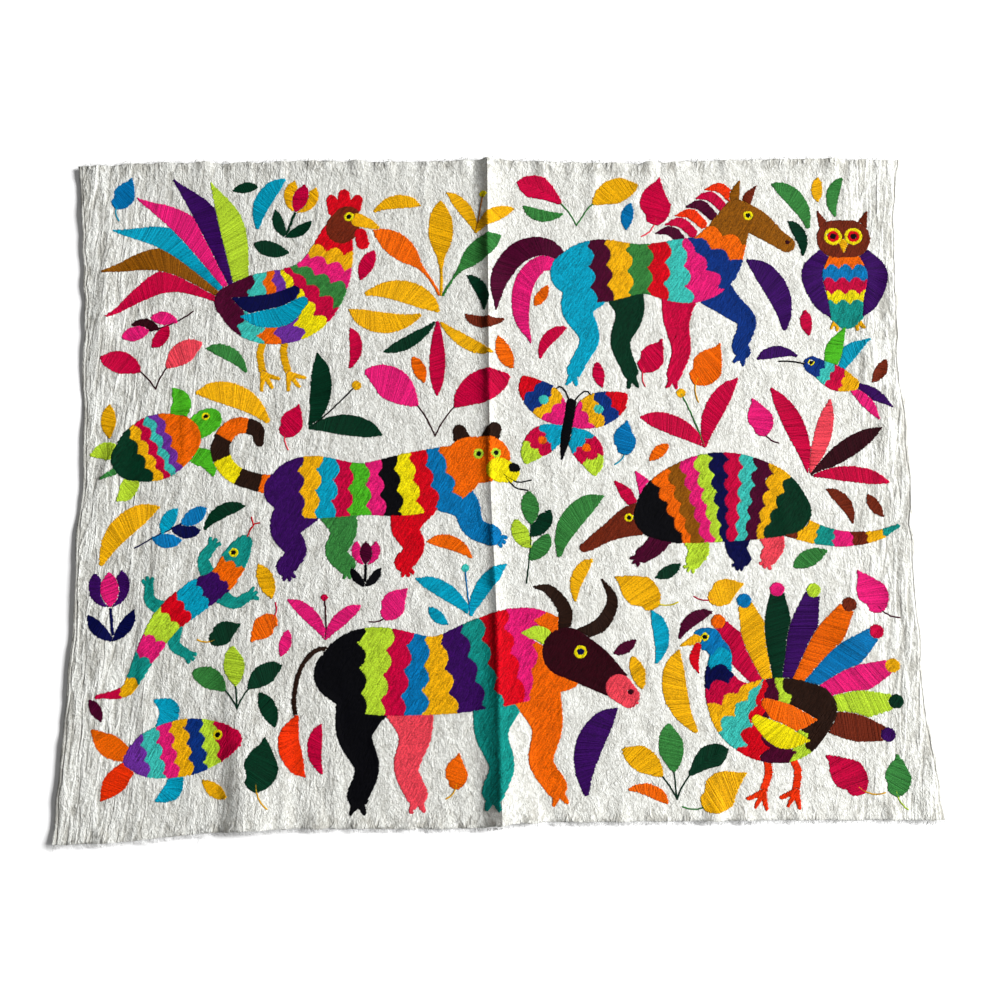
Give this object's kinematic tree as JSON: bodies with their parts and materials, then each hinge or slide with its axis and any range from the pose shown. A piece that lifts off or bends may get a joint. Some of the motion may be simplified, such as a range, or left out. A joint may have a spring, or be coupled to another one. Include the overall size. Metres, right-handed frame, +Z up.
{
  "type": "otomi embroidered cloth",
  "caption": "Landscape cotton cloth with torn top and bottom edges and a raised storage crease down the middle, covered in satin-stitched animals, birds and leaves. It lies flat.",
  "frame": {"origin": "centre of the cloth's outline, on the surface that it lies on", "axes": "+X along the width, from selvedge to selvedge, to the right as the animals are seen upright; +Y towards the cloth's top edge; +Z up, out of the surface"},
  "size_m": [0.9243, 0.74, 0.0198],
  "materials": {
    "cotton": "matte unbleached plain weave, crinkled",
    "thread_crimson": "satin-stitched embroidery thread",
    "thread_red": "satin-stitched embroidery thread",
    "thread_scarlet": "satin-stitched embroidery thread",
    "thread_orange": "satin-stitched embroidery thread",
    "thread_amber": "satin-stitched embroidery thread",
    "thread_yellow": "satin-stitched embroidery thread",
    "thread_lime": "satin-stitched embroidery thread",
    "thread_leaf_green": "satin-stitched embroidery thread",
    "thread_forest_green": "satin-stitched embroidery thread",
    "thread_bottle_green": "satin-stitched embroidery thread",
    "thread_teal": "satin-stitched embroidery thread",
    "thread_turquoise": "satin-stitched embroidery thread",
    "thread_cyan": "satin-stitched embroidery thread",
    "thread_sky_blue": "satin-stitched embroidery thread",
    "thread_royal_blue": "satin-stitched embroidery thread",
    "thread_navy": "satin-stitched embroidery thread",
    "thread_purple": "satin-stitched embroidery thread",
    "thread_violet": "satin-stitched embroidery thread",
    "thread_pink": "satin-stitched embroidery thread",
    "thread_coral": "satin-stitched embroidery thread",
    "thread_plum": "satin-stitched embroidery thread",
    "thread_maroon": "satin-stitched embroidery thread",
    "thread_ochre": "satin-stitched embroidery thread",
    "thread_brown": "satin-stitched embroidery thread",
    "thread_dark_brown": "satin-stitched embroidery thread",
    "thread_black": "satin-stitched embroidery thread"
  },
  "bodies": {
    "root": {"cloth": "cotton"}
  },
  "joints": []
}
